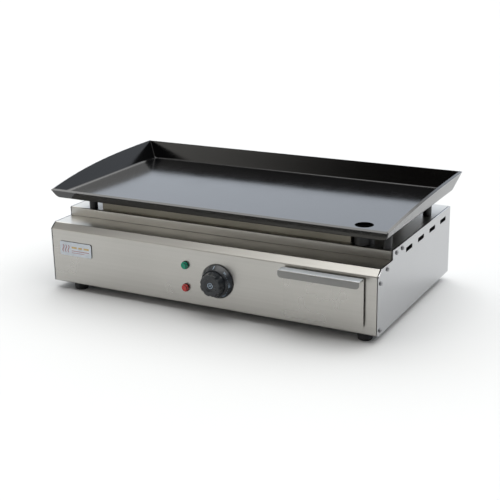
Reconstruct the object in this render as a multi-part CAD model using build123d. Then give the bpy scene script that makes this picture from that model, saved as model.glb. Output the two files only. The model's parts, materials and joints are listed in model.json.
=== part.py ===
from build123d import *
import os
from math import sqrt

os.makedirs("parts", exist_ok=True)

# Frame while modelling, in mm: X = 0 on the casing's centre line, Y = 0 on the front panel's
# outer face with +Y towards the back, Z = 0 on the worktop. Every shape is moved back by
# frame_y when it is saved, so that the saved origin is the bottom centre of the whole box.

# casing
foot_height = 12.0
casing_width = 550.0
casing_depth = 304.0
sheet = 1.2
bend_radius = 1.6            # to the middle of the sheet
panel_top = foot_height + 86.0
ledge_z = foot_height + 94.7
deck_z = foot_height + 108.4
chamfer_run = 10.5
riser_y = 52.5
bottom_return = 10.0
back_flange = 14.0
side_gap = 1.2
screw_radius = 2.0
screw_hole = 2.15

# griddle pan
pan_sheet = 4.0
pan_under_z = foot_height + 131.0
pan_half_width = 276.2       # outside of the bends under the floor
pan_front_y = 22.1
pan_back_y = 305.6
side_flare = 0.43            # outward run for each mm of rise
back_flare = 0.23
front_flare = 0.58
back_wall_height = 32.0      # from the underside to the rim
front_lip_height = 12.9
rim_fall = 2.7               # exponent of the side walls' falling rim
side_bend = 8.5              # outside radius of each crease under the walls
front_bend = 2.2
back_bend = 4.5
drain_x = 225.0
drain_y = 69.5
drain_radius = 13.5
drain_wall = 1.2
drain_length = 43.0

# pan supports
support_places = [(-235.0, 61.5), (263.5, 60.5), (-235.0, 238.0), (259.5, 238.0)]
support_stud_radius = 3.0
sleeve_radius = 6.6

# heat box and elements under the pan
box_x = (-217.0, 209.0)
box_y = (60.0, 270.0)
box_height = 19.8
element_radius = 4.2
element_runs = ((78.0, 108.0), (145.0, 175.0), (212.0, 242.0))
element_end_x = -185.0
element_bend_x = 190.0
element_z = pan_under_z - 4.5
clamp_x = (-130.0, -10.0, 110.0)
clamp_stud_y = (93.0, 160.0, 227.0)
bulb_y = 126.5

# controls on the front panel
control_z = foot_height + 43.2
knob_x = 25.2
knob_radius = 26.0
knob_front = 23.6
lamp_x = -29.0
lamp_spacing = 35.0
lamp_mid_z = control_z - 0.2
badge = (60.0, 22.4, 1.5)
badge_centre = (-228.6, foot_height + 57.2)

# grease drawer
drawer_x = (133.2, 255.2)
drawer_z = (foot_height + 9.9, foot_height + 83.1)
drawer_stand_off = 4.5       # outer face of the drawer front, ahead of the panel
handle_reach = 20.6
handle_lip = 10.2
handle_tilt = 1.2            # how far the lip's lower edge stands further out
tray_x = (140.0, 250.0)
tray_z = (foot_height + 13.6, foot_height + 78.0)
tray_back_y = 222.6
tray_sheet = 1.0
opening_x = (138.0, 252.0)
opening_z = (foot_height + 11.5, foot_height + 80.0)

# vents and screws in the side panels: middles in Y and Z
vent = (26.0, 6.5, 1.5)
vent_y = [117.4 + 50.5 * i for i in range(4)]
vent_z = foot_height + 94.2
side_screw_places = [(66.8, foot_height + 101.8), (89.4, foot_height + 101.8),
                     (31.9, foot_height + 88.4), (7.2, foot_height + 75.7),
                     (7.2, foot_height + 7.3)]

# feet
foot_radius = 11.0
foot_neck = 4.2
foot_x = (-234.5, 250.5)
foot_y = (15.5, 281.0)

# back panel fittings
gland_x = -200.0
gland_z = foot_height + 36.0
gland_bore = 4.5
gland_out = 20.0
earth_x = -150.0
back_face_y = casing_depth - sheet - 0.2
back_vent_x = [-20.0 + 40.0 * i for i in range(6)]
back_vent_z = foot_height + 82.0
back_screw_places = [(-240.0, deck_z - 7.4), (0.0, deck_z - 7.4), (240.0, deck_z - 7.4),
                     (-268.0, foot_height + 20.0), (268.0, foot_height + 20.0),
                     (-268.0, foot_height + 75.0), (268.0, foot_height + 75.0)]

half_width = casing_width / 2
cover_half = half_width - sheet - side_gap
frame_y = (casing_depth + gland_out - knob_front) / 2


# ---- helpers ----

def block(x, y, z):
    """A box between two limits on each axis."""
    size = (x[1] - x[0], y[1] - y[0], z[1] - z[0])
    middle = Pos((x[0] + x[1]) / 2, (y[0] + y[1]) / 2, (z[0] + z[1]) / 2)
    return middle * Box(*size)


def rod_z(x, y, z, radius):
    """A round bar along Z between two heights."""
    return Pos(x, y, (z[0] + z[1]) / 2) * Cylinder(radius, z[1] - z[0])


def rod_y(x, y, z, radius):
    """A round bar along Y between two depths."""
    return Pos(x, (y[0] + y[1]) / 2, z) * Rot(90, 0, 0) * Cylinder(radius, y[1] - y[0])


def rod_x(x, y, z, radius):
    """A round bar along X between two places."""
    return Pos((x[0] + x[1]) / 2, y, z) * Rot(0, 90, 0) * Cylinder(radius, x[1] - x[0])


def inset_path(points, distance):
    """Corners of the path that runs a fixed distance to the right of the given one."""
    corners = [Vector(*p) for p in points]
    runs = [(b - a).normalized() for a, b in zip(corners, corners[1:])]
    sides = [Vector(run.Y, -run.X) for run in runs]
    path = []
    for i, corner in enumerate(corners):
        first = sides[max(i - 1, 0)]
        last = sides[min(i, len(sides) - 1)]
        path.append(corner + (first + last) * (distance / (1 + first.dot(last))))
    return [(p.X, p.Y) for p in path]


def bent_sheet(outer, thickness=sheet, radius=bend_radius):
    """Cut face of a folded sheet whose outer side follows the points."""
    middle = FilletPolyline(*inset_path(outer, thickness / 2), radius=radius)
    return trace(middle, line_width=thickness)


def across(face, x):
    """A Y-Z face made solid from one X to another."""
    return Pos(x[0], 0, 0) * extrude(Plane.YZ * face, amount=x[1] - x[0])


def hex_nut(across_flats, height, bore):
    """A nut about Z, standing on the origin."""
    blank = extrude(RegularPolygon(across_flats / 2, 6, major_radius=False), amount=height)
    corner_cone = Cone(across_flats * 0.5 + height, across_flats * 0.5 + 0.2, height,
                       align=(Align.CENTER, Align.CENTER, Align.MIN))
    return (blank & corner_cone) - Pos(0, 0, height / 2) * Cylinder(bore, height + 2)


def pan_head_screw(shank, head, head_height, length, cross=True):
    """A cross-head screw: head above the origin, shank below it, about Z."""
    cap = Pos(0, 0, head_height / 2) * Cylinder(head, head_height)
    cap = fillet(cap.edges().sort_by(Axis.Z)[-1], head_height * 0.45)
    if cross:
        for turn in (0, 90):
            bar = Box(head * 1.05, head * 0.26, head_height, align=(Align.CENTER, Align.CENTER, Align.MIN))
            cap -= Pos(0, 0, head_height * 0.45) * Rot(0, 0, turn) * bar
    return cap + Pos(0, 0, -length / 2) * Cylinder(shank, length)


def tube_along(points, radii, radius):
    """A round wire or tube along straight runs joined by arcs."""
    path = FilletPolyline(*points, radius=radii)
    start = Plane(origin=path @ 0, z_dir=path % 0)
    return sweep(start * Circle(radius), path=path)


def save(name, shape):
    """Writes one piece, in the frame of the finished part."""
    solids = shape.solids() if hasattr(shape, "solids") else shape
    moved = [Pos(0, -frame_y, 0) * s for s in solids]
    export_step(moved[0] if len(moved) == 1 else Compound(children=moved), f"parts/{name}.step")


def group(shapes):
    """Separate identical pieces kept as one node."""
    return Compound(children=[s for shape in shapes for s in shape.solids()])


# ---- casing ----

cover_outline = [(bottom_return, foot_height), (0, foot_height), (0, panel_top),
                 (chamfer_run, ledge_z), (riser_y, ledge_z), (riser_y, deck_z),
                 (casing_depth, deck_z), (casing_depth, deck_z - back_flange)]


def front_cover():
    """Front panel, chamfer, ledge, riser, deck and back flange, bent from one sheet."""
    cover = across(bent_sheet(cover_outline), (-cover_half, cover_half))
    for side in (-1, 1):
        x = sorted((side * cover_half, side * (cover_half - sheet)))
        cover += block(x, (sheet / 2, 13), (foot_height + 3, panel_top - 4))
        cover += block(x, (16, riser_y - 3), (ledge_z - 13, ledge_z - sheet / 2))
        cover += block(x, (riser_y + 3, casing_depth - 4), (deck_z - 10.4, deck_z - sheet / 2))
    corners = [(opening_x[0] + opening_x[1]) / 2, 0, (opening_z[0] + opening_z[1]) / 2]
    opening = extrude(RectangleRounded(opening_x[1] - opening_x[0], opening_z[1] - opening_z[0], 3),
                      amount=4, both=True)
    cover -= Pos(*corners) * Rot(90, 0, 0) * opening
    cover -= rod_y(knob_x, (-1, 3), control_z, 5.2)
    for x in (knob_x - 14, knob_x + 14):
        cover -= rod_y(x, (-1, 3), control_z, screw_hole)
    for side in (-1, 1):
        cover -= rod_y(lamp_x, (-1, 3), lamp_mid_z + side * lamp_spacing / 2, 5.2)
    cover -= rod_z(drain_x, drain_y, (deck_z - 3, deck_z + 1), drain_radius + drain_wall + 0.5)
    for x, y in support_places:
        cover -= rod_z(x, y, (deck_z - 3, deck_z + 1), support_stud_radius + 0.3)
    cover -= block((box_x[0] + 14, box_x[1] - 14), (box_y[0] + 5, box_y[1] - 9), (deck_z - 3, deck_z + 1))
    for y, z in side_screw_places:
        for side in (-1, 1):
            cover -= rod_x(sorted((side * (cover_half - 3), side * half_width)), y, z, screw_hole)
    for x, z in back_screw_places[:3]:
        cover -= rod_y(x, (casing_depth - 3, casing_depth + 1), z, screw_hole)
    return cover


def side_panel(side):
    """Flat side sheet that follows the cover's outline, with bottom and back flanges."""
    outer = bend_radius + sheet / 2
    inner = bend_radius - sheet / 2
    radii = [outer, outer * 1.5, outer * 1.5, inner, outer, outer]
    top = FilletPolyline((20, foot_height), *cover_outline[1:7], (casing_depth, foot_height), radius=radii)
    outline = make_face(top + Line((casing_depth, foot_height), (20, foot_height)))
    x = sorted((side * half_width, side * (half_width - sheet)))
    panel = across(outline, x)
    flange = sorted((side * half_width, side * (half_width - 11)))
    panel += block(flange, (bottom_return + 2, casing_depth), (foot_height, foot_height + sheet))
    panel += block(flange, (casing_depth - sheet, casing_depth), (foot_height, deck_z - back_flange - 1))
    for y in vent_y:
        panel -= Pos(x[0], y, vent_z) * extrude(Plane.YZ * RectangleRounded(*vent), amount=4, both=True)
    for y, z in side_screw_places:
        panel -= rod_x((x[0] - 1, x[1] + 1), y, z, screw_hole)
    for bx, z in back_screw_places[3:]:
        panel -= rod_y(bx, (casing_depth - 3, casing_depth + 1), z, screw_hole)
    for y in base_screw_y:
        panel -= rod_z(side * base_screw_x, y, (foot_height - 1, foot_height + 3), screw_hole)
    return panel


base_screw_x = half_width - 6.0
base_screw_y = (40.0, 150.0, 262.0)
base_plate_z = foot_height + 1.5


def base_plate():
    """Bottom sheet with upturned front and back edges."""
    low = base_plate_z
    outline = [(2, low + 9), (2, low), (back_face_y - sheet - 0.5, low), (back_face_y - sheet - 0.5, low + 9)]
    middle = FilletPolyline(*inset_path(outline[::-1], sheet / 2), radius=bend_radius)
    plate = across(trace(middle, line_width=sheet), (-cover_half + 2, cover_half - 2))
    for x in foot_x:
        for y in foot_y:
            plate -= rod_z(x, y, (low - 1, low + 3), 2.7)
    for side in (-1, 1):
        for y in base_screw_y:
            plate -= rod_z(side * base_screw_x, y, (low - 1, low + 3), screw_hole)
    for x, y in rivet_places:
        plate -= rod_z(x, y, (low - 1, low + 3), 1.7)
    for x in (block_x[0] + 6, block_x[1] - 6):
        plate -= rod_z(x, block_y, (low - 1, low + 3), 1.7)
    return plate


def back_panel():
    """Flat back sheet with the cable gland, earth stud and vents."""
    z = (foot_height + 3.2, deck_z - sheet - 1)
    panel = block((-cover_half + 3, cover_half - 3), (back_face_y - sheet, back_face_y), z)
    through = (back_face_y - 3, back_face_y + 1)
    panel -= rod_y(gland_x, through, gland_z, 8.2)
    panel -= rod_y(earth_x, through, gland_z, 3.1)
    for x, sz in back_screw_places:
        panel -= rod_y(x, through, sz, screw_hole)
    for x in back_vent_x:
        panel -= Pos(x, back_face_y, back_vent_z) * extrude(Plane.XZ * RectangleRounded(*vent), amount=4, both=True)
    return panel


def side_screws():
    """Cross-head screws through both side panels into the cover's end flanges."""
    screw = pan_head_screw(screw_radius, 3.1, 1.7, 7)
    shapes = []
    for side in (-1, 1):
        for y, z in side_screw_places:
            shapes.append(Pos(side * half_width, y, z) * Rot(0, 90 * side, 0) * screw)
    return group(shapes)


def back_screws():
    """Cross-head screws through the flanges into the back panel."""
    screw = pan_head_screw(screw_radius, 3.6, 1.8, 7)
    return group([Pos(x, casing_depth, z) * Rot(-90, 0, 0) * screw for x, z in back_screw_places])


def base_screws():
    """Cross-head screws up through the side panels' flanges into the base plate."""
    screw = pan_head_screw(screw_radius, 3.6, 1.8, 6)
    return group([Pos(side * base_screw_x, y, foot_height) * Rot(180, 0, 0) * screw
                  for side in (-1, 1) for y in base_screw_y])


def foot(x, y):
    """Rubber foot, rounded below, with a recess for its screw."""
    blank = Cone(foot_radius * 0.95, foot_radius, foot_height, align=(Align.CENTER, Align.CENTER, Align.MIN))
    blank = fillet(blank.edges().sort_by(Axis.Z)[0], 2.0)
    blank += rod_z(0, 0, (foot_height - 1, base_plate_z), foot_neck)
    blank -= rod_z(0, 0, (-1, 5), 5.5)
    blank -= rod_z(0, 0, (0, base_plate_z + 1), 2.55)
    return Pos(x, y, 0) * blank


def foot_screws():
    """One screw up through each foot."""
    screw = pan_head_screw(2.5, 4.8, 2.6, 17)
    return group([Pos(x, y, 5) * Rot(180, 0, 0) * screw for x in foot_x for y in foot_y])


def foot_nuts():
    """Nuts on the foot screws, inside the casing."""
    nut = hex_nut(8, 4, 2.55)
    return group([Pos(x, y, base_plate_z + sheet) * nut for x in foot_x for y in foot_y])


def badge_plate():
    """Blank rating badge on the front panel."""
    plate = extrude(RectangleRounded(badge[0], badge[1], 3), amount=badge[2])
    plate = fillet(plate.faces().sort_by(Axis.Z)[-1].edges(), 0.4)
    return Pos(badge_centre[0], 0, badge_centre[1]) * Rot(90, 0, 0) * plate


# ---- griddle pan and its supports ----

def frustum(half_width_low, front_low, back_low, rise, low_z):
    """Solid between a level rectangle and the larger one above it that the flares lead to."""
    low = Pos(0, (front_low + back_low) / 2, low_z) * Rectangle(2 * half_width_low, back_low - front_low)
    front_high = front_low - front_flare * rise
    back_high = back_low + back_flare * rise
    wide = 2 * (half_width_low + side_flare * rise)
    high = Pos(0, (front_high + back_high) / 2, low_z + rise) * Rectangle(wide, back_high - front_high)
    return loft([low, high], ruled=True)


def inner_step(flare):
    """How far the inside of a flared wall lies from its outside, on a level line."""
    return pan_sheet * (sqrt(1 + flare ** 2) - flare)


def rim_profile():
    """The side walls' top edge as Y and height over the underside, front lip to back corner."""
    y0 = pan_front_y - front_flare * front_lip_height
    y1 = pan_back_y + back_flare * back_wall_height
    points = []
    for step in range(7):
        s = step / 6
        rise = front_lip_height + (back_wall_height - front_lip_height) * (1 - (1 - s) ** rim_fall)
        points.append((y0 + (y1 - y0) * s, rise))
    return points


def creased(solid, low_z, bends):
    """Rounds the bottom edges with the side, front and back radii."""
    middle = (pan_front_y + pan_back_y) / 2
    side, front, back = bends
    for axis, radius, low_y, high_y in ((Axis.Y, side, -1e3, 1e3), (Axis.X, front, -1e3, middle),
                                        (Axis.X, back, middle, 1e3)):
        edges = [e for e in solid.edges().filter_by(axis)
                 if abs(e.center().Z - low_z) < 0.01 and low_y < e.center().Y < high_y]
        solid = fillet(edges, radius)
    return solid


def rim_cutter(origin, along, up, profile):
    """Slab square to a wall, over a line drawn on the wall's outer face."""
    face = Plane(origin=origin, x_dir=along, z_dir=Vector(*along).cross(Vector(*up)))
    edge = Spline(*profile) if len(profile) > 2 else Line(*profile)
    first, last = profile[0], profile[-1]
    over = make_face(edge + Polyline(last, (last[0] + 60, last[1]), (last[0] + 60, 90),
                                     (first[0] - 60, 90), (first[0] - 60, first[1]), first))
    return extrude(face * over, amount=pan_sheet + 0.6, both=True)


def griddle_pan():
    """Folded steel pan: flat floor, flared walls, sides that fall to a low front lip."""
    rise = back_wall_height + 8
    outer = frustum(pan_half_width, pan_front_y, pan_back_y, rise, pan_under_z)
    inner = frustum(pan_half_width - inner_step(side_flare), pan_front_y + inner_step(front_flare),
                    pan_back_y - inner_step(back_flare), rise, pan_under_z + pan_sheet)
    outer = creased(outer, pan_under_z, (side_bend, front_bend, back_bend))
    inner = creased(inner, pan_under_z + pan_sheet, (side_bend - pan_sheet, 1.5, 2.0))
    shell = outer - inner
    slant = sqrt(1 + side_flare ** 2)
    profile = [(y, height * slant) for y, height in rim_profile()]
    for side in (-1, 1):
        shell -= rim_cutter((side * pan_half_width, 0, pan_under_z), (0, 1, 0), (side * side_flare, 0, 1), profile)
    for y, flare, height in ((pan_front_y, -front_flare, front_lip_height),
                             (pan_back_y, back_flare, back_wall_height)):
        level = height * sqrt(1 + flare ** 2)
        shell -= rim_cutter((0, y, pan_under_z), (1, 0, 0), (0, flare, 1), [(-320, level), (320, level)])
    return shell - rod_z(drain_x, drain_y, (pan_under_z - 1, pan_under_z + pan_sheet + 1), drain_radius)


def drain_tube():
    """Grease spout under the pan, down through the deck to the drawer."""
    z = (pan_under_z - drain_length, pan_under_z)
    tube = rod_z(drain_x, drain_y, z, drain_radius + drain_wall)
    return tube - rod_z(drain_x, drain_y, (z[0] - 1, z[1] + 1), drain_radius)


def support_studs():
    """Threaded studs welded under the pan."""
    z = (deck_z - 14, pan_under_z)
    return group([rod_z(x, y, z, support_stud_radius) for x, y in support_places])


def support_sleeves():
    """Round spacers between the deck and the pan, round the pan's studs."""
    height = pan_under_z - deck_z
    sleeve = rod_z(0, 0, (0, height), sleeve_radius)
    sleeve = chamfer(sleeve.edges().filter_by(GeomType.CIRCLE), 0.5)
    sleeve -= rod_z(0, 0, (-1, height + 1), support_stud_radius + 0.2)
    return group([Pos(x, y, deck_z) * sleeve for x, y in support_places])


def support_nuts():
    """A nut on each stud, under the deck."""
    nut = hex_nut(10, 5, support_stud_radius + 0.05)
    return group([Pos(x, y, deck_z - sheet - 5) * nut for x, y in support_places])


# ---- heat box, elements and their clamps ----

box_floor_z = deck_z
capillary_x = 62.0
element_ends = [(element_end_x, y) for pair in element_runs for y in pair]


def heat_box():
    """Open steel tray on the deck that holds the insulation round the elements."""
    z = (box_floor_z, box_floor_z + box_height)
    tray = block(box_x, box_y, z)
    tray = fillet(tray.edges().filter_by(Axis.Z), 1.2)
    tray -= block((box_x[0] + sheet, box_x[1] - sheet), (box_y[0] + sheet, box_y[1] - sheet),
                  (z[0] + sheet, z[1] + 1))
    for x, y in element_ends:
        tray -= rod_z(x, y, (z[0] - 1, z[0] + 3), 8.6)
    return tray - rod_z(capillary_x, bulb_y, (z[0] - 1, z[0] + 3), 4)


def insulation_board():
    """Ceramic fibre board in the heat box, with holes for what passes it."""
    z = (box_floor_z + sheet, box_floor_z + sheet + 9.6)
    board = block((box_x[0] + 2.5, box_x[1] - 2.5), (box_y[0] + 2.5, box_y[1] - 2.5), z)
    for x, y in element_ends:
        board -= rod_z(x, y, (z[0] - 1, z[1] + 1), 9)
    for x in clamp_x:
        for y in clamp_stud_y:
            board -= rod_z(x, y, (z[0] - 1, z[1] + 1), 6.5)
    return board - rod_z(capillary_x, bulb_y, (z[0] - 1, z[1] + 1), 5)


def heating_element(pair):
    """Sheathed element: two runs under the floor, one U-bend, ends turned down."""
    low = deck_z - 20
    points = [(element_end_x, pair[0], low), (element_end_x, pair[0], element_z),
              (element_bend_x, pair[0], element_z), (element_bend_x, pair[1], element_z),
              (element_end_x, pair[1], element_z), (element_end_x, pair[1], low)]
    bend = (pair[1] - pair[0]) / 2 - 0.2
    return tube_along(points, [10, bend, bend, 10], element_radius)


def element_bushes():
    """Ceramic bushes where the element ends pass the heat box floor."""
    bush = rod_z(0, 0, (-3, 0), 11) + rod_z(0, 0, (0, 5), 8.4)
    bush -= rod_z(0, 0, (-4, 6), element_radius + 0.1)
    return group([Pos(x, y, box_floor_z) * bush for x, y in element_ends])


def element_terminals():
    """Terminal pins below the element ends, each with a nut."""
    low = deck_z - 20
    shapes = []
    for x, y in element_ends:
        pin = rod_z(x, y, (low - 13, low), 2)
        nut = Pos(x, y, low - 7) * hex_nut(7, 3, 1.5)
        shapes.append(pin + nut)
    return group(shapes)


def clamp_bars():
    """Flat bars across the elements."""
    z = (element_z - element_radius - 2.3, element_z - element_radius - 0.3)
    bars = []
    for x in clamp_x:
        bar = block((x - 10, x + 10), (box_y[0] + 6, box_y[1] - 16), z)
        for y in clamp_stud_y:
            bar -= rod_z(x, y, (z[0] - 1, z[1] + 1), 2.7)
        bars.append(bar)
    return group(bars)


clamp_places = [(x, y) for x in clamp_x for y in clamp_stud_y]
clamp_low_z = element_z - element_radius - 2.3


def clamp_studs():
    """Studs welded under the pan for the clamp bars."""
    return group([rod_z(x, y, (clamp_low_z - 6, pan_under_z), 2.5) for x, y in clamp_places])


def clamp_nuts():
    """Nuts that pull the clamp bars up."""
    nut = hex_nut(8, 4, 2.55)
    return group([Pos(x, y, clamp_low_z - 4) * nut for x, y in clamp_places])


# ---- thermostat, knob and lamps ----

shaft_radius = 3.0
thermostat_y = (sheet + 0.1, 34.0)
blade_x = (-16, -8, 6, 14)


def thermostat_body():
    """Capillary thermostat behind the front panel, with its bush and blade terminals."""
    body = block((knob_x - 22, knob_x + 22), (thermostat_y[0] + 2, thermostat_y[1]),
                 (control_z - 17, control_z + 17))
    body = fillet(body.edges().filter_by(Axis.Y), 3)
    body += block((knob_x - 20, knob_x + 20), (thermostat_y[0], thermostat_y[0] + 2.5),
                  (control_z - 12, control_z + 12))
    body += rod_y(knob_x, (-0.4, 4), control_z, 4.8)
    body -= rod_y(knob_x, (-3, 15), control_z, shaft_radius + 0.05)
    for x in (knob_x - 14, knob_x + 14):
        body -= rod_y(x, (0, 9), control_z, screw_radius + 0.05)
    for x in blade_x:
        body += block((knob_x + x - 0.4, knob_x + x + 0.4), (thermostat_y[1] - 1, thermostat_y[1] + 8),
                      (control_z - 3.2, control_z + 3.2))
    return body


def thermostat_screws():
    """Two screws that hold the thermostat to the front panel, under the knob's skirt."""
    screw = pan_head_screw(screw_radius, 3.4, 1.4, 7)
    return group([Pos(x, 0, control_z) * Rot(90, 0, 0) * screw for x in (knob_x - 14, knob_x + 14)])


def thermostat_shaft():
    """Turning shaft with a flat for the knob."""
    shaft = rod_y(knob_x, (-20, 14), control_z, shaft_radius)
    flat = block((knob_x - 5, knob_x + 5), (-21, -7), (control_z + 1.6, control_z + 5))
    return shaft - flat


skirt_back = 0.8
skirt_front = 2.4            # front of the straight edge; the dial cone rises from here
cone_front = 11.8
cone_radius = 20.2
grip_radius = 18.9
grip_front_radius = 16.8
lobes = 8


def knob():
    """Moulded knob: conical dial skirt, lobed grip and dished front, about Y."""
    profile = Polyline((0, skirt_back), (knob_radius, skirt_back), (knob_radius, skirt_front),
                       (cone_radius, cone_front), (cone_radius - 0.6, cone_front), (grip_radius, cone_front - 0.9),
                       (grip_front_radius, knob_front), (0, knob_front), close=True)
    body = revolve(Plane.XZ * make_face(profile), Axis.Z)
    rims = body.edges().filter_by(GeomType.CIRCLE)
    body = fillet([e for e in rims if abs(e.center().Z - knob_front) < 0.01], 1.6)
    for turn in range(lobes):
        cut = Pos(grip_front_radius + 6.6, 0, cone_front + 0.6) * Cylinder(
            8, 30, align=(Align.CENTER, Align.CENTER, Align.MIN))
        body -= Rot(0, 0, 360 / lobes * (turn + 0.5)) * cut
    body -= Pos(0, 0, knob_front + 29.6) * Sphere(31)
    inner = Pos(0, 0, 4) * Cylinder(18.5, 8) + Pos(0, 0, 12) * Cylinder(13, 8)
    boss = Pos(0, 0, 12) * Cylinder(6.5, 24)
    body -= inner - boss
    bore = Pos(0, 0, 11) * Cylinder(shaft_radius + 0.05, 22)
    bore -= Pos(0, 0, 14) * block((-5, 5), (1.65, 5), (-7, 8))
    body -= bore - block((-5, 5), (-5, 5), (20.3, 30))
    return Pos(knob_x, 0, control_z) * Rot(90, 0, 0) * body


def lamp_lens(z):
    """Coloured lens with a low domed front and a thin flange."""
    flange = Pos(0, 0, 0.6) * Cylinder(6.3, 1.2)
    flange = fillet(flange.edges().sort_by(Axis.Z)[-1], 0.5)
    lens = Pos(0, 0, 2.6) * Cylinder(5.7, 4.0)
    lens = fillet(lens.edges().sort_by(Axis.Z)[-1], 1.2)
    return Pos(lamp_x, 0, z) * Rot(90, 0, 0) * (flange + lens)


def lamp_body(z):
    """Lamp holder through the panel, with two blade terminals."""
    body = rod_y(lamp_x, (0, 24), z, 4.9)
    for x in (lamp_x - 2.5, lamp_x + 2.5):
        body += block((x - 0.4, x + 0.4), (23, 32), (z - 2.4, z + 2.4))
    return body


lamp_z = {"green": lamp_mid_z + lamp_spacing / 2, "red": lamp_mid_z - lamp_spacing / 2}


def lamp_clips():
    """Push-on rings that hold the lamps from behind the panel."""
    return group([rod_y(lamp_x, (sheet, sheet + 0.8), z, 8.5) - rod_y(lamp_x, (0, 4), z, 5.0)
                  for z in lamp_z.values()])


bulb_z = pan_under_z - 3.5


def sensing_bulb():
    """Thermostat bulb held under the pan's floor."""
    return rod_x((-80, 40), bulb_y, bulb_z, 3)


def capillary_tube():
    """Thin copper tube from the thermostat to the bulb."""
    x = capillary_x
    points = [(knob_x + 12, 20, control_z + 17), (knob_x + 12, 20, foot_height + 78),
              (x, 62, foot_height + 88), (x, bulb_y, foot_height + 92),
              (x, bulb_y, bulb_z), (40, bulb_y, bulb_z)]
    return tube_along(points, [9, 14, 12, 6], 1.0)


def bulb_clips():
    """Saddle clips under the pan that carry the bulb."""
    clips = []
    for x in (-60.0, 25.0):
        clip = block((x - 5, x + 5), (bulb_y - 4.2, bulb_y + 4.2), (bulb_z - 3.9, pan_under_z))
        clip -= block((x - 6, x + 6), (bulb_y - 3.1, bulb_y + 3.1), (bulb_z, pan_under_z + 1))
        clip -= rod_x((x - 6, x + 6), bulb_y, bulb_z, 3.1)
        for side in (-1, 1):
            y = sorted((bulb_y + side * 3.2, bulb_y + side * 8))
            clip += block((x - 5, x + 5), y, (pan_under_z - 1, pan_under_z))
        clips.append(clip)
    return group(clips)


# ---- electrical parts inside and at the back ----

block_x = (-236.0, -176.0)
block_y = 240.0
block_low = base_plate_z + sheet


def terminal_block():
    """Ceramic mains terminal block on the base plate."""
    body = block(block_x, (block_y - 11, block_y + 11), (block_low, block_low + 18))
    body = chamfer(body.edges().filter_by(Axis.X).group_by(Axis.Z)[-1], 4)
    for x in terminal_x:
        body -= rod_y(x, (block_y - 12, block_y + 12), block_low + 7, 2.6)
        body -= rod_z(x, block_y - 4, (block_low + 8, block_low + 19), 2.2)
    for x in (block_x[0] + 6, block_x[1] - 6):
        body -= rod_z(x, block_y, (block_low - 1, block_low + 19), 1.7)
        body -= rod_z(x, block_y, (block_low + 9, block_low + 19), 3.4)
    return body


terminal_x = (-218.0, -206.0, -194.0)


def terminal_screws():
    """Fixing screws of the terminal block."""
    screw = pan_head_screw(1.6, 3.0, 1.6, 12)
    return group([Pos(x, block_y, block_low + 9) * screw for x in (block_x[0] + 6, block_x[1] - 6)])


def gland_body():
    """Cable gland through the back panel: thread inside, hexagon outside."""
    thread = rod_y(gland_x, (back_face_y - 11, back_face_y + 1), gland_z, 8)
    flats = extrude(RegularPolygon(11, 6, major_radius=False), amount=6)
    body = thread + Pos(gland_x, back_face_y + 6, gland_z) * Rot(90, 0, 0) * flats
    return body - rod_y(gland_x, (back_face_y - 12, back_face_y + 8), gland_z, gland_bore)


def gland_cap():
    """Domed cap nut of the gland."""
    y = (back_face_y + 6, casing_depth + gland_out)
    cap = Cylinder(10.5, y[1] - y[0])
    cap = fillet(cap.edges().sort_by(Axis.Z)[0], 4)
    cap = Pos(gland_x, (y[0] + y[1]) / 2, gland_z) * Rot(90, 0, 0) * cap
    return cap - rod_y(gland_x, (y[0] - 1, y[1] + 1), gland_z, gland_bore)


def gland_locknut():
    """Lock nut of the gland inside the casing."""
    nut = hex_nut(22, 4.5, 8.05)
    return Pos(gland_x, back_face_y - sheet, gland_z) * Rot(90, 0, 0) * nut


def earth_stud():
    """Stud for the outside earth bond."""
    return rod_y(earth_x, (back_face_y - 14, back_face_y + 15), gland_z, 3)


def earth_nuts():
    """Nuts and washers on the earth stud, inside and outside."""
    nut = hex_nut(10, 5, 3.05)
    washer = rod_z(0, 0, (0, 1.2), 6) - rod_z(0, 0, (-1, 3), 3.05)
    stack = washer + Pos(0, 0, 1.2) * nut
    outside = Pos(earth_x, back_face_y, gland_z) * Rot(-90, 0, 0) * stack
    inside = Pos(earth_x, back_face_y - sheet, gland_z) * Rot(90, 0, 0) * stack
    return group([outside, inside])


wire_radius = 1.5
wire_z = block_low + 7


def supply_wires():
    """Four insulated wires between the terminal block, the thermostat and the elements."""
    front = block_y - 11
    low_pin = deck_z - 20 - 13
    back = thermostat_y[1] + 8
    live = [(terminal_x[0], front, wire_z), (terminal_x[0], 190, wire_z), (-225, 100, foot_height + 24),
            (-120, 60, foot_height + 26), (-20, 62, foot_height + 32), (knob_x - 16, 60, control_z),
            (knob_x - 16, back, control_z)]
    neutral = [(terminal_x[1], front, wire_z), (terminal_x[1], 170, wire_z), (-190, 90, foot_height + 30),
               (element_end_x, element_runs[0][0], foot_height + 52),
               (element_end_x, element_runs[0][0], low_pin)]
    switched = [(knob_x - 8, back, control_z), (knob_x - 8, 68, control_z), (-70, 84, foot_height + 50),
                (-160, 120, foot_height + 46), (element_end_x, element_runs[0][1], foot_height + 58),
                (element_end_x, element_runs[0][1], low_pin)]
    earth = [(terminal_x[2], block_y + 11, wire_z), (terminal_x[2], 268, wire_z),
             (earth_x - 20, 262, gland_z - 12), (earth_x, 264, gland_z), (earth_x, back_face_y - 14, gland_z)]
    return {
        "live_wire": tube_along(live, [20, 30, 30, 16, 7], wire_radius),
        "neutral_wire": tube_along(neutral, [20, 26, 12], wire_radius),
        "switched_wire": tube_along(switched, [10, 30, 24, 10], wire_radius),
        "earth_wire": tube_along(earth, [5, 6, 8], wire_radius),
    }


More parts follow.
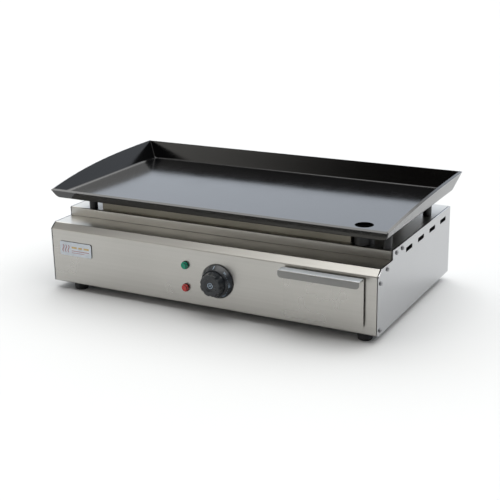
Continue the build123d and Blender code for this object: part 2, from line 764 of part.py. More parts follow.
def lamp_wires():
    """Two wires that link the lamps to the thermostat."""
    shapes = []
    for z, blade in ((lamp_z["green"], blade_x[2]), (lamp_z["red"], blade_x[3])):
        side = 1 if z > control_z else -1
        x = knob_x + blade
        points = [(lamp_x + 2.5, 32, z), (lamp_x + 2.5, 48, z), (-8, 50, z + side * 2),
                  (x, 54, control_z + side * 1.6), (x, thermostat_y[1] + 8, control_z + side * 1.6)]
        shapes.append(tube_along(points, [7, 9, 4], 1.0))
    return group(shapes)


# ---- grease drawer ----

def drawer_front():
    """Drawer front with its folded handle, one bent sheet."""
    face = -drawer_stand_off
    outline = [(-handle_reach - handle_tilt, drawer_z[1] - handle_lip), (-handle_reach, drawer_z[1]),
               (face, drawer_z[1]), (face, drawer_z[0])]
    lip = inset_path(outline[:3], sheet / 2)
    plate_y = face + sheet / 2
    path = [lip[0], lip[1], (plate_y, drawer_z[1] - sheet / 2), (plate_y, drawer_z[0])]
    front = across(trace(FilletPolyline(*path, radius=bend_radius), line_width=sheet), drawer_x)
    ends = [e for e in front.edges().filter_by(GeomType.LINE) if abs(e.length - sheet) < 0.01]
    low = [e for e in ends if abs(e.center().Z - drawer_z[0]) < 0.1]
    lip_low = [e for e in ends if abs(e.center().Z - drawer_z[1] + handle_lip) < 0.4]
    return fillet(low + lip_low, 5)


def drawer_tray():
    """Open-topped grease tray behind the drawer front."""
    y = (-drawer_stand_off + sheet, tray_back_y)
    tray = block(tray_x, y, tray_z)
    tray = fillet(tray.edges().filter_by(Axis.Z), 4)
    tray = fillet(tray.faces().sort_by(Axis.Z)[0].edges(), 3)
    inside = block((tray_x[0] + tray_sheet, tray_x[1] - tray_sheet), (y[0] + tray_sheet, y[1] - tray_sheet),
                   (tray_z[0] + tray_sheet, tray_z[1] + 20))
    inside = fillet(inside.edges().filter_by(Axis.Z), 3)
    inside = fillet(inside.faces().sort_by(Axis.Z)[0].edges(), 2)
    return tray - inside


rail_y = (36.0, 224.2)
rivet_places = [(x, y) for x in (opening_x[0] - 6.5, opening_x[1] + 6.5) for y in (55.0, 200.0)]


def drawer_rail(side):
    """Folded rail under one edge of the tray, with a stop at its back end."""
    edge = opening_x[0] if side < 0 else opening_x[1]
    top = tray_z[0] - 0.5
    low = base_plate_z + sheet
    reach = 7
    outline = [(reach, top - sheet / 2), (0, top - sheet / 2), (0, low + sheet / 2), (-11, low + sheet / 2)]
    face = trace(FilletPolyline(*outline, radius=bend_radius), line_width=sheet)
    rail = extrude(Plane.XZ * face, amount=-(rail_y[1] - rail_y[0]))
    rail += block((0, reach), (rail_y[1] - rail_y[0] - sheet, rail_y[1] - rail_y[0]), (top - sheet / 2, top + 14))
    for x, y in rivet_places:
        rail -= rod_z(-6.5, y - rail_y[0], (low - 1, low + 3), 1.7)
    if side > 0:
        rail = mirror(rail, about=Plane.YZ)
    return Pos(edge, rail_y[0], 0) * rail


def rail_rivets():
    """Rivets that hold the rails to the base plate."""
    low = base_plate_z
    rivet = rod_z(0, 0, (low - 1, low), 3) + rod_z(0, 0, (low, low + 2 * sheet), 1.65)
    rivet += rod_z(0, 0, (low + 2 * sheet, low + 2 * sheet + 1.2), 3.6)
    return group([Pos(x, y, 0) * rivet for x, y in rivet_places])


# ---- save every piece ----

save("front_cover", front_cover())
save("side_panel_left", side_panel(-1))
save("side_panel_right", side_panel(1))
save("back_panel", back_panel())
save("base_plate", base_plate())
save("side_screws", side_screws())
save("back_screws", back_screws())
save("base_screws", base_screws())
for i, x_name in enumerate(("left", "right")):
    for j, y_name in enumerate(("front", "rear")):
        save(f"foot_{y_name}_{x_name}", foot(foot_x[i], foot_y[j]))
save("foot_screws", foot_screws())
save("foot_nuts", foot_nuts())
save("badge_plate", badge_plate())

save("griddle_pan", griddle_pan())
save("drain_tube", drain_tube())
save("support_studs", support_studs())
save("support_sleeves", support_sleeves())
save("support_nuts", support_nuts())

save("heat_box", heat_box())
save("insulation_board", insulation_board())
for name, pair in zip(("front", "middle", "rear"), element_runs):
    save(f"heating_element_{name}", heating_element(pair))
save("element_bushes", element_bushes())
save("element_terminals", element_terminals())
save("clamp_bars", clamp_bars())
save("clamp_studs", clamp_studs())
save("clamp_nuts", clamp_nuts())

save("thermostat_body", thermostat_body())
save("thermostat_screws", thermostat_screws())
save("thermostat_shaft", thermostat_shaft())
save("knob", knob())
save("sensing_bulb", sensing_bulb())
save("capillary_tube", capillary_tube())
save("bulb_clips", bulb_clips())
for colour, z in lamp_z.items():
    save(f"{colour}_lamp_lens", lamp_lens(z))
    save(f"{colour}_lamp_body", lamp_body(z))
save("lamp_clips", lamp_clips())

save("terminal_block", terminal_block())
save("terminal_screws", terminal_screws())
save("gland_body", gland_body())
save("gland_cap", gland_cap())
save("gland_locknut", gland_locknut())
save("earth_stud", earth_stud())
save("earth_nuts", earth_nuts())
for name, wire in supply_wires().items():
    save(name, wire)
save("lamp_wires", lamp_wires())

save("drawer_front", drawer_front())
save("drawer_tray", drawer_tray())
save("drawer_rail_left", drawer_rail(-1))
save("drawer_rail_right", drawer_rail(1))
save("rail_rivets", rail_rivets())
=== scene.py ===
import json
import math

import bmesh
import bpy
from mathutils import Matrix, Quaternion, Vector


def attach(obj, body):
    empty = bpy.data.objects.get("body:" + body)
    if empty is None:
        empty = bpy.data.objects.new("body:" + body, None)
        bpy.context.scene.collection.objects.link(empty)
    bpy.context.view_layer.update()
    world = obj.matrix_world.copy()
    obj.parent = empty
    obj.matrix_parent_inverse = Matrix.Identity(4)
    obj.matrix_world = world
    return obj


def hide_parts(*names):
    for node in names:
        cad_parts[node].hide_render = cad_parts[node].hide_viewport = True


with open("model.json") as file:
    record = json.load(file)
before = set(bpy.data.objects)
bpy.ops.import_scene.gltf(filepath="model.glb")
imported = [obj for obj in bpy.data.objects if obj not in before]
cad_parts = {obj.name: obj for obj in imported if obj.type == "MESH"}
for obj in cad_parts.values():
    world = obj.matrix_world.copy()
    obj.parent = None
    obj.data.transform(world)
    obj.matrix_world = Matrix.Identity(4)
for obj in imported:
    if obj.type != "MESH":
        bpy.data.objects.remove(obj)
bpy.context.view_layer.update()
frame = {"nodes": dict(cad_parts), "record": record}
nodes = frame["nodes"]
print("frame loaded:", len(nodes), "nodes")

# camera at the viewing angle, in metres and degrees
cameraSettings = {
    "place": (0.76191, -1.41395, 0.57873),
    "azimuth": 28.359,
    "elevation": 18.056,
    "roll": -1.111,
    "lens": 76.673,
}


def addCamera(s):
    az, el = math.radians(s["azimuth"]), math.radians(s["elevation"])
    back = Vector((math.sin(az) * math.cos(el), -math.cos(az) * math.cos(el), math.sin(el)))
    turn = back.to_track_quat("Z", "Y") @ Quaternion((0, 0, 1), math.radians(s["roll"]))
    data = bpy.data.cameras.new("camera")
    data.lens = s["lens"]
    data.sensor_width = 36
    camera = bpy.data.objects.new("camera", data)
    camera.matrix_world = Matrix.Translation(s["place"]) @ turn.to_matrix().to_4x4()
    bpy.context.collection.objects.link(camera)
    bpy.context.scene.camera = camera


addCamera(cameraSettings)
bpy.context.scene.view_settings.view_transform = "Standard"
print("camera placed")


# shader nodes

def addNode(tree, kind, inputs=None, **settings):
    node = tree.nodes.new(kind)
    for key, value in settings.items():
        setattr(node, key, value)
    for key, value in (inputs or {}).items():
        if isinstance(value, bpy.types.NodeSocket):
            tree.links.new(value, node.inputs[key])
        else:
            node.inputs[key].default_value = value
    return node


def newMaterial(name, values):
    material = bpy.data.materials.new(name)
    material.use_nodes = True
    tree = material.node_tree
    shader = tree.nodes["Principled BSDF"]
    for key, value in values.items():
        shader.inputs[key].default_value = (*value, 1) if isinstance(value, tuple) else value
    return material, tree, shader


def mapped(tree, scale):
    # object coordinates stretched by a scale on each axis, per metre
    place = addNode(tree, "ShaderNodeTexCoord").outputs["Object"]
    return addNode(tree, "ShaderNodeMapping", {"Vector": place, "Scale": scale}).outputs["Vector"]


def noise(tree, scale, detail=2.0, rough=0.5):
    inputs = {"Vector": mapped(tree, scale), "Scale": 1.0, "Detail": detail, "Roughness": rough}
    return addNode(tree, "ShaderNodeTexNoise", inputs).outputs["Fac"]


def ranged(tree, value, low, high, fromLow=0.3, fromHigh=0.7):
    inputs = {"Value": value, "From Min": fromLow, "From Max": fromHigh, "To Min": low, "To Max": high}
    return addNode(tree, "ShaderNodeMapRange", inputs).outputs["Result"]


def mixed(tree, factor, first, second, blend="MIX"):
    node = addNode(tree, "ShaderNodeMix", data_type="RGBA", blend_type=blend)
    for slot, value in ((0, factor), (6, first), (7, second)):
        if isinstance(value, bpy.types.NodeSocket):
            tree.links.new(value, node.inputs[slot])
        else:
            node.inputs[slot].default_value = (*value, 1) if isinstance(value, tuple) else value
    return node.outputs[2]


def step(tree, value, low, high):
    inputs = {"Value": value, "From Min": low, "From Max": high}
    return addNode(tree, "ShaderNodeMapRange", inputs, interpolation_type="SMOOTHSTEP").outputs["Result"]


def product(tree, *values):
    result = values[0]
    for value in values[1:]:
        result = addNode(tree, "ShaderNodeMath", {0: result, 1: value}, operation="MULTIPLY").outputs[0]
    return result


def bumped(tree, shader, height, strength, distance, after=None):
    inputs = {"Height": height, "Strength": strength, "Distance": distance}
    if after:
        inputs["Normal"] = after
    result = addNode(tree, "ShaderNodeBump", inputs).outputs["Normal"]
    tree.links.new(result, shader.inputs["Normal"])
    return result


def scaled(colour, factor):
    return tuple(min(1.0, c * factor) for c in colour)


# steel, coatings, plastics

def brushedSteel(name, colour, grain=(5, 1500, 1500), rough=(0.14, 0.2), streak=0.00001, wave=0.0):
    material, tree, shader = newMaterial(name, {"Metallic": 1.0})
    fine = noise(tree, grain, 3)
    broad = noise(tree, tuple(g / 6 for g in grain), 2)
    smudge = noise(tree, (11, 11, 11), 3)
    tone = mixed(tree, ranged(tree, broad, 0, 1), scaled(colour, 0.965), scaled(colour, 1.02))
    tree.links.new(tone, shader.inputs["Base Color"])
    tree.links.new(ranged(tree, smudge, *rough), shader.inputs["Roughness"])
    last = bumped(tree, shader, fine, 1.0, streak)
    if wave:
        bumped(tree, shader, noise(tree, (7, 7, 7), 1), 1.0, wave, last)
    return material


def polishedSteel(name, colour, rough=(0.07, 0.1), wave=0.0005, grain=(900, 900, 12)):
    material, tree, shader = newMaterial(name, {"Metallic": 1.0})
    broad = ranged(tree, noise(tree, (9, 9, 9), 3), 0, 1)
    tone = mixed(tree, broad, scaled(colour, 0.98), scaled(colour, 1.01))
    tree.links.new(tone, shader.inputs["Base Color"])
    tree.links.new(ranged(tree, noise(tree, (14, 14, 14), 3), *rough), shader.inputs["Roughness"])
    last = bumped(tree, shader, noise(tree, grain, 2), 1.0, 0.000002)
    bumped(tree, shader, noise(tree, (3.5, 5, 6), 0), 1.0, wave, last)
    return material


def zincSheet(name, colour):
    # spangled zinc: patches of slightly different brightness
    material, tree, shader = newMaterial(name, {"Metallic": 1.0})
    inputs = {"Vector": mapped(tree, (90, 90, 90)), "Scale": 1.0, "Randomness": 1.0}
    cells = addNode(tree, "ShaderNodeTexVoronoi", inputs)
    shade = addNode(tree, "ShaderNodeSeparateColor", {"Color": cells.outputs["Color"]}).outputs["Red"]
    tree.links.new(mixed(tree, shade, scaled(colour, 0.82), scaled(colour, 1.1)), shader.inputs["Base Color"])
    tree.links.new(ranged(tree, shade, 0.28, 0.42, 0, 1), shader.inputs["Roughness"])
    bumped(tree, shader, noise(tree, (500, 500, 500), 2), 0.4, 0.00004)
    return material


def plainMetal(name, colour, rough=(0.25, 0.4), scale=250, bump=0.00003):
    material, tree, shader = newMaterial(name, {"Metallic": 1.0})
    spots = noise(tree, (scale,) * 3, 3)
    tone = mixed(tree, ranged(tree, spots, 0, 1), scaled(colour, 0.85), colour)
    tree.links.new(tone, shader.inputs["Base Color"])
    tree.links.new(ranged(tree, noise(tree, (60, 60, 60), 2), *rough), shader.inputs["Roughness"])
    bumped(tree, shader, spots, 0.5, bump)
    return material


def coatedPlate(name, colour, rough, peel=0.00002, ior=1.6):
    # smooth baked coating: faint orange peel, slightly uneven gloss
    material, tree, shader = newMaterial(name, {"Metallic": 0.0, "IOR": ior})
    wide = noise(tree, (18, 18, 18), 3)
    tone = mixed(tree, ranged(tree, wide, 0, 1), scaled(colour, 0.85), scaled(colour, 1.15))
    tree.links.new(tone, shader.inputs["Base Color"])
    tree.links.new(ranged(tree, noise(tree, (26, 26, 26), 4), *rough), shader.inputs["Roughness"])
    bumped(tree, shader, noise(tree, (420, 420, 420), 2), 0.6, peel)
    return material


def mouldedPlastic(name, colour, rough=(0.3, 0.42), grain=900, bump=0.00002, **more):
    material, tree, shader = newMaterial(name, dict({"Metallic": 0.0}, **more))
    spots = noise(tree, (grain,) * 3, 2)
    patches = ranged(tree, noise(tree, (70,) * 3, 3), 0, 1)
    tone = mixed(tree, patches, scaled(colour, 0.9), scaled(colour, 1.08))
    tree.links.new(tone, shader.inputs["Base Color"])
    tree.links.new(ranged(tree, noise(tree, (130,) * 3, 3), *rough), shader.inputs["Roughness"])
    bumped(tree, shader, spots, 0.5, bump)
    return material


def lensPlastic(name, colour, centre):
    # tinted lens: a crescent of painted shade inside its right edge and a dark rim
    material, tree, shader = newMaterial(name, {"Metallic": 0.0, "Roughness": 0.12, "IOR": 1.4})
    place = addNode(tree, "ShaderNodeTexCoord").outputs["Object"]

    def vectorMath(first, second, operation):
        return addNode(tree, "ShaderNodeVectorMath", {0: first, 1: second}, operation=operation)

    def away(shiftX, shiftZ):
        flat = vectorMath(place, (1, 0, 1), "MULTIPLY").outputs["Vector"]
        spot = (centre[0] + shiftX, 0, centre[1] + shiftZ)
        return vectorMath(flat, spot, "DISTANCE").outputs["Value"]

    radius = away(0, 0)
    # painted shade: an offset circle darkens a crescent inside the right edge of the lens
    shaded = step(tree, away(-0.002, -0.001), 0.0046, 0.0055)
    painted_shade_crescent = product(tree, shaded, step(tree, radius, 0.0050, 0.0044))
    rim = step(tree, radius, 0.00555, 0.0058)
    dark = addNode(tree, "ShaderNodeMath", {0: painted_shade_crescent, 1: rim}, operation="MAXIMUM").outputs[0]
    swirl = ranged(tree, noise(tree, (420, 420, 420), 1), 0, 1)
    tint = mixed(tree, swirl, scaled(colour, 0.8), scaled(colour, 1.2))
    tree.links.new(mixed(tree, dark, tint, scaled(colour, 0.06)), shader.inputs["Base Color"])
    return material


finishes = {
    "stainless_sheet": brushedSteel("brushed stainless sheet", (0.44, 0.43, 0.405), (4, 1300, 1300),
                                    (0.27, 0.33), 0.000005),
    "side_sheet": polishedSteel("bright stainless side sheet", (0.45, 0.455, 0.465), (0.16, 0.2)),
    "drawer_stainless": brushedSteel("brushed stainless drawer front", (0.43, 0.42, 0.395), (5, 1300, 1300),
                                     (0.24, 0.3), 0.000005),
    # handle top and lip: one steel painted lighter and bluish on top (painted highlight) and darker on the
    # lip (painted shade)
    "handle_top_painted_highlight": brushedSteel("drawer handle top painted highlight", (0.66, 0.69, 0.72), (5, 900, 900),
                               (0.5, 0.58), 0.000004),
    "handle_lip": brushedSteel("drawer handle lip painted shade", (0.26, 0.26, 0.255), (5, 900, 900),
                               (0.4, 0.48), 0.000004),
    "tray_steel": brushedSteel("tray sheet", (0.55, 0.54, 0.52), (300, 6, 300), (0.25, 0.35)),
    # heat box: dull, rough sheet; its colour is darkened to brown-grey as painted shade from the pan above
    "heat_box_painted_shade": brushedSteel("heat box sheet with painted shade", (0.24, 0.225, 0.185), (6, 700, 700), (0.45, 0.55)),
    "galvanised_sheet": zincSheet("galvanised sheet", (0.55, 0.56, 0.57)),
    "zinc_hardware": plainMetal("zinc plated hardware", (0.6, 0.6, 0.58)),
    "screw_steel": plainMetal("dull screw steel", (0.3, 0.3, 0.31), (0.32, 0.42)),
    "pan_coating": coatedPlate("baked pan coating", (0.0012, 0.0014, 0.0018), (0.12, 0.15), 0.000005, 1.62),
    "drain_black": coatedPlate("black tube paint", (0.006, 0.006, 0.007), (0.35, 0.45), 0.00001, 1.45),
    "sleeve_black": coatedPlate("black sleeve paint", (0.004, 0.004, 0.005), (0.35, 0.45), 0.00001, 1.45),
    "ceramic_fibre": mouldedPlastic("ceramic fibre board", (0.8, 0.78, 0.72), (0.85, 0.95), 400, 0.0003),
    "element_sheath": plainMetal("heat tinted element sheath", (0.3, 0.27, 0.24), (0.35, 0.5), 120),
    "steatite": mouldedPlastic("steatite", (0.82, 0.8, 0.74), (0.45, 0.6), 600, 0.00006),
    "thermostat_housing": mouldedPlastic("thermostat housing", (0.7, 0.67, 0.6), (0.45, 0.55)),
    "knob_black": mouldedPlastic("black knob moulding", (0.016, 0.019, 0.023), (0.26, 0.34), 1400, 0.000012),
    "copper": plainMetal("copper tube", (0.72, 0.38, 0.24)),
    "lens_green": lensPlastic("green lens", (0.0, 0.25, 0.15), (-0.029, 0.0725)),
    "lens_red": lensPlastic("red lens", (0.52, 0.05, 0.045), (-0.029, 0.0375)),
    "lamp_housing": mouldedPlastic("lamp housing", (0.75, 0.75, 0.72)),
    "gland_black": mouldedPlastic("gland nylon", (0.018, 0.018, 0.019), (0.4, 0.5), 700),
    "brass_stud": plainMetal("brass stud", (0.78, 0.6, 0.28)),
    "wire_brown": mouldedPlastic("brown insulation", (0.16, 0.06, 0.03)),
    "wire_blue": mouldedPlastic("blue insulation", (0.02, 0.08, 0.35)),
    "wire_green_yellow": mouldedPlastic("green and yellow insulation", (0.25, 0.5, 0.05)),
    "badge_white": mouldedPlastic("white badge enamel", (0.62, 0.67, 0.73), (0.18, 0.26), 300, 0.000008),
    "dial_print": mouldedPlastic("pale dial print", (0.33, 0.42, 0.52), (0.4, 0.5), 900, 0.000004),
    "badge_red": mouldedPlastic("dusty red badge print", (0.36, 0.13, 0.15), (0.3, 0.4), 900, 0.000004),
    "badge_amber": mouldedPlastic("amber badge print", (0.55, 0.40, 0.16), (0.3, 0.4), 900, 0.000004),
    # painted shade: near-black finish for the badge's side faces
    "badge_edge_painted_shade": mouldedPlastic("badge edge painted shade", (0.012, 0.013, 0.012), (0.4, 0.5), 900, 0.000004),
    "foot_rubber": mouldedPlastic("foot rubber", (0.012, 0.012, 0.013), (0.6, 0.75), 800, 0.00005),
}
ownFinish = {"side_panel_left": "side_sheet", "side_panel_right": "side_sheet", "heat_box": "heat_box_painted_shade",
             "side_screws": "screw_steel"}
for entry in frame["record"]["subparts"]:
    node = nodes[entry["node"]]
    finish = finishes[ownFinish.get(entry["node"], entry["material_slot"])]
    node.data.materials.clear()
    node.data.materials.append(finish)
print("materials on the packed nodes")


# smooth copies of the curved CAD pieces

def smoothCopy(name, sharp):
    node = nodes[name]
    mesh = node.data.copy()
    shape = bmesh.new()
    shape.from_mesh(mesh)
    bmesh.ops.remove_doubles(shape, verts=shape.verts, dist=0.000002)
    bmesh.ops.dissolve_degenerate(shape, edges=shape.edges, dist=0.000001)
    bmesh.ops.recalc_face_normals(shape, faces=shape.faces)
    shape.to_mesh(mesh)
    shape.free()
    for polygon in mesh.polygons:
        polygon.use_smooth = True
    mesh.set_sharp_from_angle(angle=math.radians(sharp))
    piece = bpy.data.objects.new(name + "_smooth", mesh)
    bpy.context.collection.objects.link(piece)
    even = piece.modifiers.new("even normals", "WEIGHTED_NORMAL")
    even.keep_sharp = True
    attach(piece, bodyOf[name])
    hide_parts(name)
    return piece


bodyOf = {n: b for b, names in frame["record"]["behaviour"]["bodies"].items() for n in names}
drawerHandle = {"starts": -0.1575, "lip": -0.1696, "upward": 0.3}   # Y, Y and the normal's Z


def finishBadgeEdge(piece):
    # the side faces of the badge get painted shade, the front keeps the enamel
    piece.data.materials.append(finishes["badge_edge_painted_shade"])
    for polygon in piece.data.polygons:
        polygon.material_index = 0 if abs(polygon.normal.y) > 0.7 else 1


def finishHandle(piece, s):
    # the handle's top gets a lighter bluish steel colour as a painted highlight and its lip a darker one as
    # painted shade; both are rougher than the drawer's face
    piece.data.materials.append(finishes["handle_top_painted_highlight"])
    piece.data.materials.append(finishes["handle_lip"])
    for polygon in piece.data.polygons:
        if polygon.center.y < s["starts"]:
            isTop = polygon.center.y > s["lip"] and polygon.normal.z > s["upward"]
            polygon.material_index = 1 if isTop else 2


# each piece with the angle, in degrees, above which its edges stay sharp
smoothed = {
    "griddle_pan": 28, "drain_tube": 35, "support_sleeves": 35, "front_cover": 28,
    "side_panel_left": 28, "side_panel_right": 28, "drawer_front": 28, "drawer_tray": 28,
    "heat_box": 28, "green_lamp_lens": 30, "red_lamp_lens": 30, "foot_front_left": 35,
    "foot_front_right": 35, "foot_rear_left": 35, "foot_rear_right": 35, "badge_plate": 30,
    "gland_body": 30, "gland_cap": 30, "heating_element_front": 40, "heating_element_middle": 40,
    "heating_element_rear": 40, "side_screws": 35, "capillary_tube": 40, "sensing_bulb": 40,
    "live_wire": 40, "neutral_wire": 40, "switched_wire": 40, "earth_wire": 40, "lamp_wires": 40,
}
for name, sharp in smoothed.items():
    piece = smoothCopy(name, sharp)
    if name == "badge_plate":
        finishBadgeEdge(piece)
    if name == "drawer_front":
        finishHandle(piece, drawerHandle)
print("smooth copies made:", len(smoothed))


# printed marks

def newPiece(name, shape, body, finish):
    mesh = bpy.data.meshes.new(name)
    shape.to_mesh(mesh)
    shape.free()
    mesh.materials.append(finish)
    piece = bpy.data.objects.new(name, mesh)
    bpy.context.collection.objects.link(piece)
    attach(piece, body)
    return piece


def lettering(shape, text, height, place):
    # outlines of a short text, laid out by place(u, v)
    curve = bpy.data.curves.new("label", "FONT")
    curve.body = text
    curve.size = height / 0.7
    curve.align_x = "CENTER"
    curve.align_y = "CENTER"
    label = bpy.data.objects.new("label", curve)
    mesh = bpy.data.meshes.new_from_object(label)
    start = len(shape.verts)
    shape.from_mesh(mesh)
    shape.verts.ensure_lookup_table()
    for vert in shape.verts[start:]:
        vert.co = place(vert.co.x, vert.co.y)
    bpy.data.meshes.remove(mesh)
    bpy.data.objects.remove(label)
    bpy.data.curves.remove(curve)


def patch(shape, outline, place):
    shape.faces.new([shape.verts.new(place(u, v)) for u, v in outline])


def bar(u0, u1, v0, v1):
    return [(u0, v0), (u1, v0), (u1, v1), (u0, v1)]


def wavyBar(shape, middle, half, swing, width, pieces, place):
    # upright bar with one full wave, as a heat symbol has
    for i in range(pieces):
        v0, v1 = (half * (2 * k / pieces - 1) for k in (i, i + 1))
        m0, m1 = (middle + swing * math.sin(v / half * math.pi) for v in (v0, v1))
        patch(shape, [(m0 - width, v0), (m0 + width, v0), (m1 + width, v1), (m1 - width, v1)], place)


dial = {
    "axis": (0.0252, 0.0552),        # X and Z of the knob's axis
    "frontY": -0.1502,               # Y of the panel's face
    "wide": (0.026, 0.0024),         # cone: radius and distance from the panel, outer end
    "narrow": (0.0202, 0.0118),
    "textHeight": 0.0033,
    "textAt": 0.52,                  # along the cone, 0 at the wide end
    "first": 94.0,                   # angle of the zero mark, degrees from +X
    "spacing": 48.0,
    "numbers": ("", "50", "100", "150", "200", "250", "300"),
    "zeroMark": ((-0.0004, 0.0004, -0.003, 0.003), (-0.0012, -0.0004, -0.003, -0.0022)),
    "tick": (-0.0003, 0.0003, -0.0014, -0.0006),
    "lift": 0.00004,
}


def onCone(s, angle, along):
    # point on the dial cone: along runs 0 at the wide end to 1 at the narrow end
    radius = s["wide"][0] + (s["narrow"][0] - s["wide"][0]) * along + s["lift"] * 0.8
    out = s["wide"][1] + (s["narrow"][1] - s["wide"][1]) * along + s["lift"] * 0.6
    turn = math.radians(angle)
    x, z = (s["axis"][0] + radius * math.cos(turn), s["axis"][1] + radius * math.sin(turn))
    return Vector((x, s["frontY"] - out, z))


def addDialPrint(s):
    shape = bmesh.new()
    slope = math.hypot(s["wide"][0] - s["narrow"][0], s["wide"][1] - s["narrow"][1])
    middle = (s["wide"][0] + s["narrow"][0]) / 2
    for i, text in enumerate(s["numbers"]):
        angle = s["first"] - s["spacing"] * i

        def place(u, v, angle=angle):
            return onCone(s, angle - math.degrees(u / middle), s["textAt"] - v / slope)

        if text:
            lettering(shape, text, s["textHeight"], place)
        else:
            for stroke in s["zeroMark"]:
                patch(shape, bar(*stroke), place)
        if 0 < i < len(s["numbers"]) - 1:
            for part in range(1, 5):
                ticked = angle - s["spacing"] * part / 5

                def tick(u, v, ticked=ticked):
                    return onCone(s, ticked - math.degrees(u / middle), s["textAt"] - v / slope)

                patch(shape, bar(*s["tick"]), tick)
    bmesh.ops.recalc_face_normals(shape, faces=shape.faces)
    newPiece("dial_print", shape, "dial", finishes["dial_print"])


addDialPrint(dial)


knobMark = {"dish": 0.031, "centre": 0.0532, "ring": (0.0036, 0.0044), "wave": 0.0005, "bar": 0.0004,
            "places": (-0.0016, 0.0, 0.0016), "half": 0.002}

knobShape = {
    # points as radius and distance from the panel
    "hollow": ((0.0, 0.020), (0.0029, 0.020), (0.0029, 0.0012), (0.0065, 0.0012), (0.0065, 0.016),
               (0.013, 0.016), (0.013, 0.008), (0.0185, 0.008), (0.0185, 0.0008)),
    "skirt": ((0.0258, 0.0008), (0.026, 0.001), (0.026, 0.0022), (0.0258, 0.0026), (0.0204, 0.0115),
              (0.0201, 0.0118), (0.0196, 0.0118), (0.0193, 0.0115), (0.0191, 0.0105), (0.0188, 0.0105)),
    "grip": (0.0188, 0.0168),        # radius at its foot and at its front
    "from": 0.0105,
    "front": 0.0236,
    "corner": 0.0018,
    "lobes": 8,
    "lobeDepth": 0.0012,
    "lobeRise": 0.004,               # length over which the lobes grow
    "steps": 192,
}


def addKnob(s):
    corner, front = s["corner"], s["front"]
    rise = [(s["grip"][0] + (s["grip"][1] - s["grip"][0]) * t, s["from"] + (front - corner - s["from"]) * t)
            for t in (0.04, 0.12, 0.25, 0.5, 0.75, 1.0)]
    turnIn = [(s["grip"][1] - corner * (1 - math.cos(a)), front - corner * (1 - math.sin(a)))
              for a in (math.radians(k) for k in (15, 30, 45, 60, 75, 90))]
    reach, deep = knobMark["dish"], knobMark["centre"]
    edge = math.sqrt(reach ** 2 - (deep - front) ** 2)
    dish = [(edge * t, deep - math.sqrt(reach ** 2 - (edge * t) ** 2))
            for t in (1.0, 0.98, 0.9, 0.75, 0.5, 0.25, 0.0)]
    shape = bmesh.new()
    profile = [*s["hollow"], *s["skirt"], *rise, *turnIn, (edge + 0.0004, front), *dish]
    verts = [shape.verts.new((r, -out, 0)) for r, out in profile]
    edges = [shape.edges.new(pair) for pair in zip(verts, verts[1:])]
    bmesh.ops.spin(shape, geom=verts + edges, cent=(0, 0, 0), axis=(0, 1, 0), angle=2 * math.pi,
                   steps=s["steps"], use_merge=True)
    bmesh.ops.remove_doubles(shape, verts=shape.verts, dist=0.000002)
    flat = s["grip"][1] - corner     # radius where the front's corner begins
    for vert in shape.verts:
        out = -vert.co.y
        radius = math.hypot(vert.co.x, vert.co.z)
        if out > s["from"] + 0.0002 and radius > edge + 0.0002:
            turn = math.atan2(vert.co.z, vert.co.x)
            dip = max(0.0, math.cos(s["lobes"] * turn)) ** 1.5
            inward = (radius - edge) / (flat - edge) if radius < flat else 1.0
            fade = min(1.0, (out - s["from"]) / s["lobeRise"]) * min(1.0, inward)
            shrink = 1 - s["lobeDepth"] * dip * fade / radius
            vert.co.x *= shrink
            vert.co.z *= shrink
    bmesh.ops.translate(shape, verts=shape.verts, vec=(dial["axis"][0], dial["frontY"], dial["axis"][1]))
    bmesh.ops.recalc_face_normals(shape, faces=shape.faces)
    for face in shape.faces:
        face.smooth = True
    piece = newPiece("knob_turned", shape, "dial", finishes["knob_black"])
    piece.data.set_sharp_from_angle(angle=math.radians(38))
    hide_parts("knob")


def addKnobMark(s):
    # plain ring with three heat waves in the dish
    shape = bmesh.new()

    def place(u, v):
        out = s["centre"] - math.sqrt(s["dish"] ** 2 - u * u - v * v) + dial["lift"]
        return Vector((dial["axis"][0] + u, dial["frontY"] - out, dial["axis"][1] + v))

    count = 48
    for i in range(count):
        a, b = (2 * math.pi * k / count for k in (i, i + 1))
        inner, outer = s["ring"]
        corners = ((inner, a), (outer, a), (outer, b), (inner, b))
        patch(shape, [(r * math.cos(t), r * math.sin(t)) for r, t in corners], place)
    for middle in s["places"]:
        wavyBar(shape, middle, s["half"], s["wave"], s["bar"], 12, place)
    bmesh.ops.remove_doubles(shape, verts=shape.verts, dist=0.000005)
    bmesh.ops.recalc_face_normals(shape, faces=shape.faces)
    newPiece("knob_mark", shape, "dial", finishes["dial_print"])


addKnobMark(knobMark)
addKnob(knobShape)


badgeMarks = {
    "centre": (-0.2286, 0.0692),
    "frontY": -0.1517,
    "lift": 0.00004,
    "bars": ((-0.0075, 0.0025, 0.0012, 0.0042), (0.0055, 0.0125, 0.0012, 0.0042),
             (0.0155, 0.0255, 0.0012, 0.0042)),
    "lines": ((-0.0075, 0.0255, -0.0032, -0.0022), (-0.0075, 0.0165, -0.0062, -0.0054)),
    "waves": (-0.0235, -0.0185, -0.0135),
    "waveHalf": 0.006,
    "waveSwing": 0.0013,
    "waveBar": 0.0008,
}


def addBadgeMarks(s):
    # heat waves and plain bars
    def place(u, v):
        return Vector((s["centre"][0] + u, s["frontY"] - s["lift"], s["centre"][1] + v))

    red, amber = bmesh.new(), bmesh.new()
    for line in s["lines"]:
        patch(red, bar(*line), place)
    for middle in s["waves"]:
        wavyBar(red, middle, s["waveHalf"], s["waveSwing"], s["waveBar"], 16, place)
    for block in s["bars"]:
        patch(amber, bar(*block), place)
    for name, shape in (("red", red), ("amber", amber)):
        bmesh.ops.remove_doubles(shape, verts=shape.verts, dist=0.000005)
        bmesh.ops.recalc_face_normals(shape, faces=shape.faces)
        newPiece("badge_marks_" + name, shape, "casing", finishes["badge_" + name])


addBadgeMarks(badgeMarks)
print("printed marks made")


# studio: floor and soft surrounding light

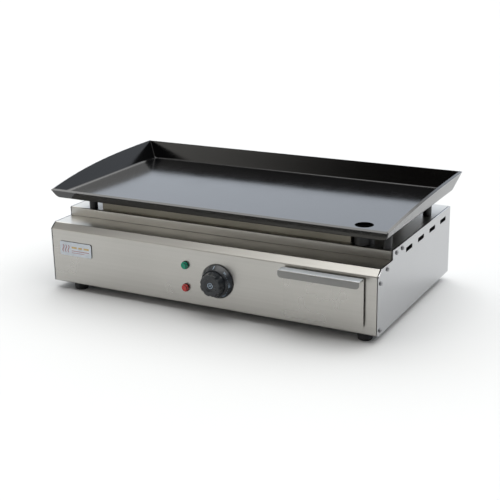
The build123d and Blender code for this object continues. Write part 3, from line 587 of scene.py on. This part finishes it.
studio = {
    "floorHalf": 9.0,
    "floorColour": (0.60, 0.605, 0.61),
    "top": (3.3, 3.3, 3.25),         # soft light overhead
    "back": (1.16, 1.25, 1.38),
    "backRight": (0.62, 0.66, 0.72),
    "frontLow": (0.034, 0.030, 0.026),   # dark room near the horizon in front
    "frontBright": (1.9, 1.86, 1.76),
    "side": (0.34, 0.33, 0.32),
}


def addFloor(s):
    mesh = bpy.data.meshes.new("floor")
    shape = bmesh.new()
    bmesh.ops.create_grid(shape, x_segments=1, y_segments=1, size=s["floorHalf"])
    shape.to_mesh(mesh)
    shape.free()
    floor = bpy.data.objects.new("floor", mesh)
    bpy.context.collection.objects.link(floor)
    values = {"Base Color": s["floorColour"], "Roughness": 0.9, "Specular IOR Level": 0.1}
    mesh.materials.append(newMaterial("pale floor", values)[0])


def addSky(s):
    world = bpy.data.worlds.new("studio light")
    bpy.context.scene.world = world
    world.use_nodes = True
    tree = world.node_tree
    background = tree.nodes["Background"]
    direction = addNode(tree, "ShaderNodeTexCoord").outputs["Generated"]
    axes = addNode(tree, "ShaderNodeSeparateXYZ", {"Vector": direction})
    x, y, z = axes.outputs
    # front half: lit wall at the left that fades to a dark room on the right
    frontLeft = product(tree, step(tree, x, -0.36, -0.56), step(tree, z, 0.1, 0.22))
    front = mixed(tree, frontLeft, s["frontLow"], s["frontBright"])
    # back half: pale backdrop, dimmer at the right
    isBack = step(tree, y, -0.25, 0.15)
    rightBack = product(tree, step(tree, x, 0.2, 0.45), step(tree, z, -0.02, 0.02))
    behind = mixed(tree, rightBack, s["back"], s["backRight"])
    around = mixed(tree, isBack, front, behind)
    # everything high up that the overhead light doesn't fill: dim
    isUpper = step(tree, z, 0.4, 0.62)
    upper = mixed(tree, isUpper, around, s["side"])
    # soft light overhead, wider towards the back
    leftEdge = step(tree, x, -0.47, -0.39)
    leftBack = product(tree, step(tree, x, -0.8, -0.7), step(tree, y, 0.05, 0.15))
    wide = addNode(tree, "ShaderNodeMath", {0: leftEdge, 1: leftBack}, operation="MAXIMUM").outputs[0]
    overhead = product(tree, wide, step(tree, x, 0.85, 0.6), step(tree, y, -0.34, -0.14),
                       step(tree, y, 0.9, 0.7), step(tree, z, 0.3, 0.6))
    light = mixed(tree, overhead, upper, s["top"])
    tree.links.new(light, background.inputs["Color"])


addFloor(studio)
addSky(studio)
print("studio ready")
